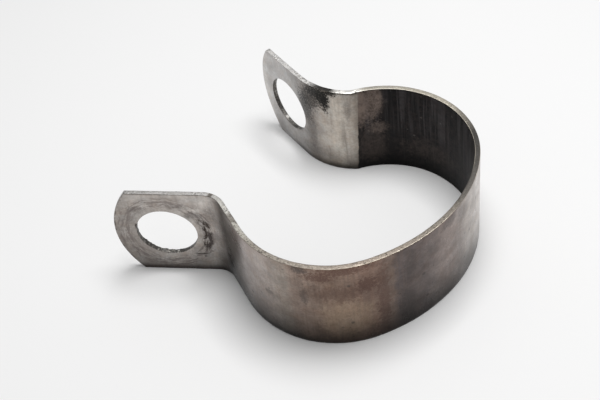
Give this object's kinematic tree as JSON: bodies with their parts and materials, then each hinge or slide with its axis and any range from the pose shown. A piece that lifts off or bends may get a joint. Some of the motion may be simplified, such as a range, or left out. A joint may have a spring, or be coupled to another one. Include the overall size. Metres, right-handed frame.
{
  "type": "strap clamp",
  "caption": "Bent flat steel strap clamp that wraps a round tube, with a splayed ear at each end, each with a bolt hole and a rounded end.",
  "frame": {"origin": "centre of the tube seat's arc, level with the strap's lower edge", "axes": "+Z along the tube's axis, from the lower edge to the upper edge; the mouth between the ears faces -X; the front ear is on the -Y side"},
  "size_m": [0.072, 0.0595, 0.025],
  "materials": {
    "strip_steel": "satin, worn and heat-tinted outside, sooted inside"
  },
  "bodies": {
    "loop_back": {"loop_back": "strip_steel"},
    "front_side": {"front_side": "strip_steel"},
    "front_ear": {"front_ear": "strip_steel"},
    "rear_side": {"rear_side": "strip_steel"},
    "rear_ear": {"rear_ear": "strip_steel"}
  },
  "joints": [
    {"name": "back_front_flex", "type": "hinge", "parent": "loop_back", "child": "front_side", "pos_m": [0.01819, -0.01937, 0.0125], "axis": [0, 0, -1], "range_deg": [0, 14.74], "stiffness_Nm_per_rad": 1},
    {"name": "shoulder_flex", "type": "hinge", "parent": "front_side", "child": "front_ear", "pos_m": [-0.00097, -0.03582, 0.0125], "axis": [0, 0, -1], "range_deg": [0, 15.34], "stiffness_Nm_per_rad": 1},
    {"name": "back_rear_flex", "type": "hinge", "parent": "loop_back", "child": "rear_side", "pos_m": [0.01875, 0.00854, 0.0125], "axis": [0, 0, 1], "range_deg": [0, 9.64], "stiffness_Nm_per_rad": 1},
    {"name": "seat_flex", "type": "hinge", "parent": "rear_side", "child": "rear_ear", "pos_m": [0.0034, 0.02032, 0.0125], "axis": [0, 0, 1], "range_deg": [0, 8.29], "stiffness_Nm_per_rad": 1}
  ],
  "couplings": [
    {"joint": "shoulder_flex", "follows": "back_front_flex", "ratio": 1.0401},
    {"joint": "back_rear_flex", "follows": "back_front_flex", "ratio": 0.65351},
    {"joint": "seat_flex", "follows": "back_front_flex", "ratio": 0.56161}
  ]
}
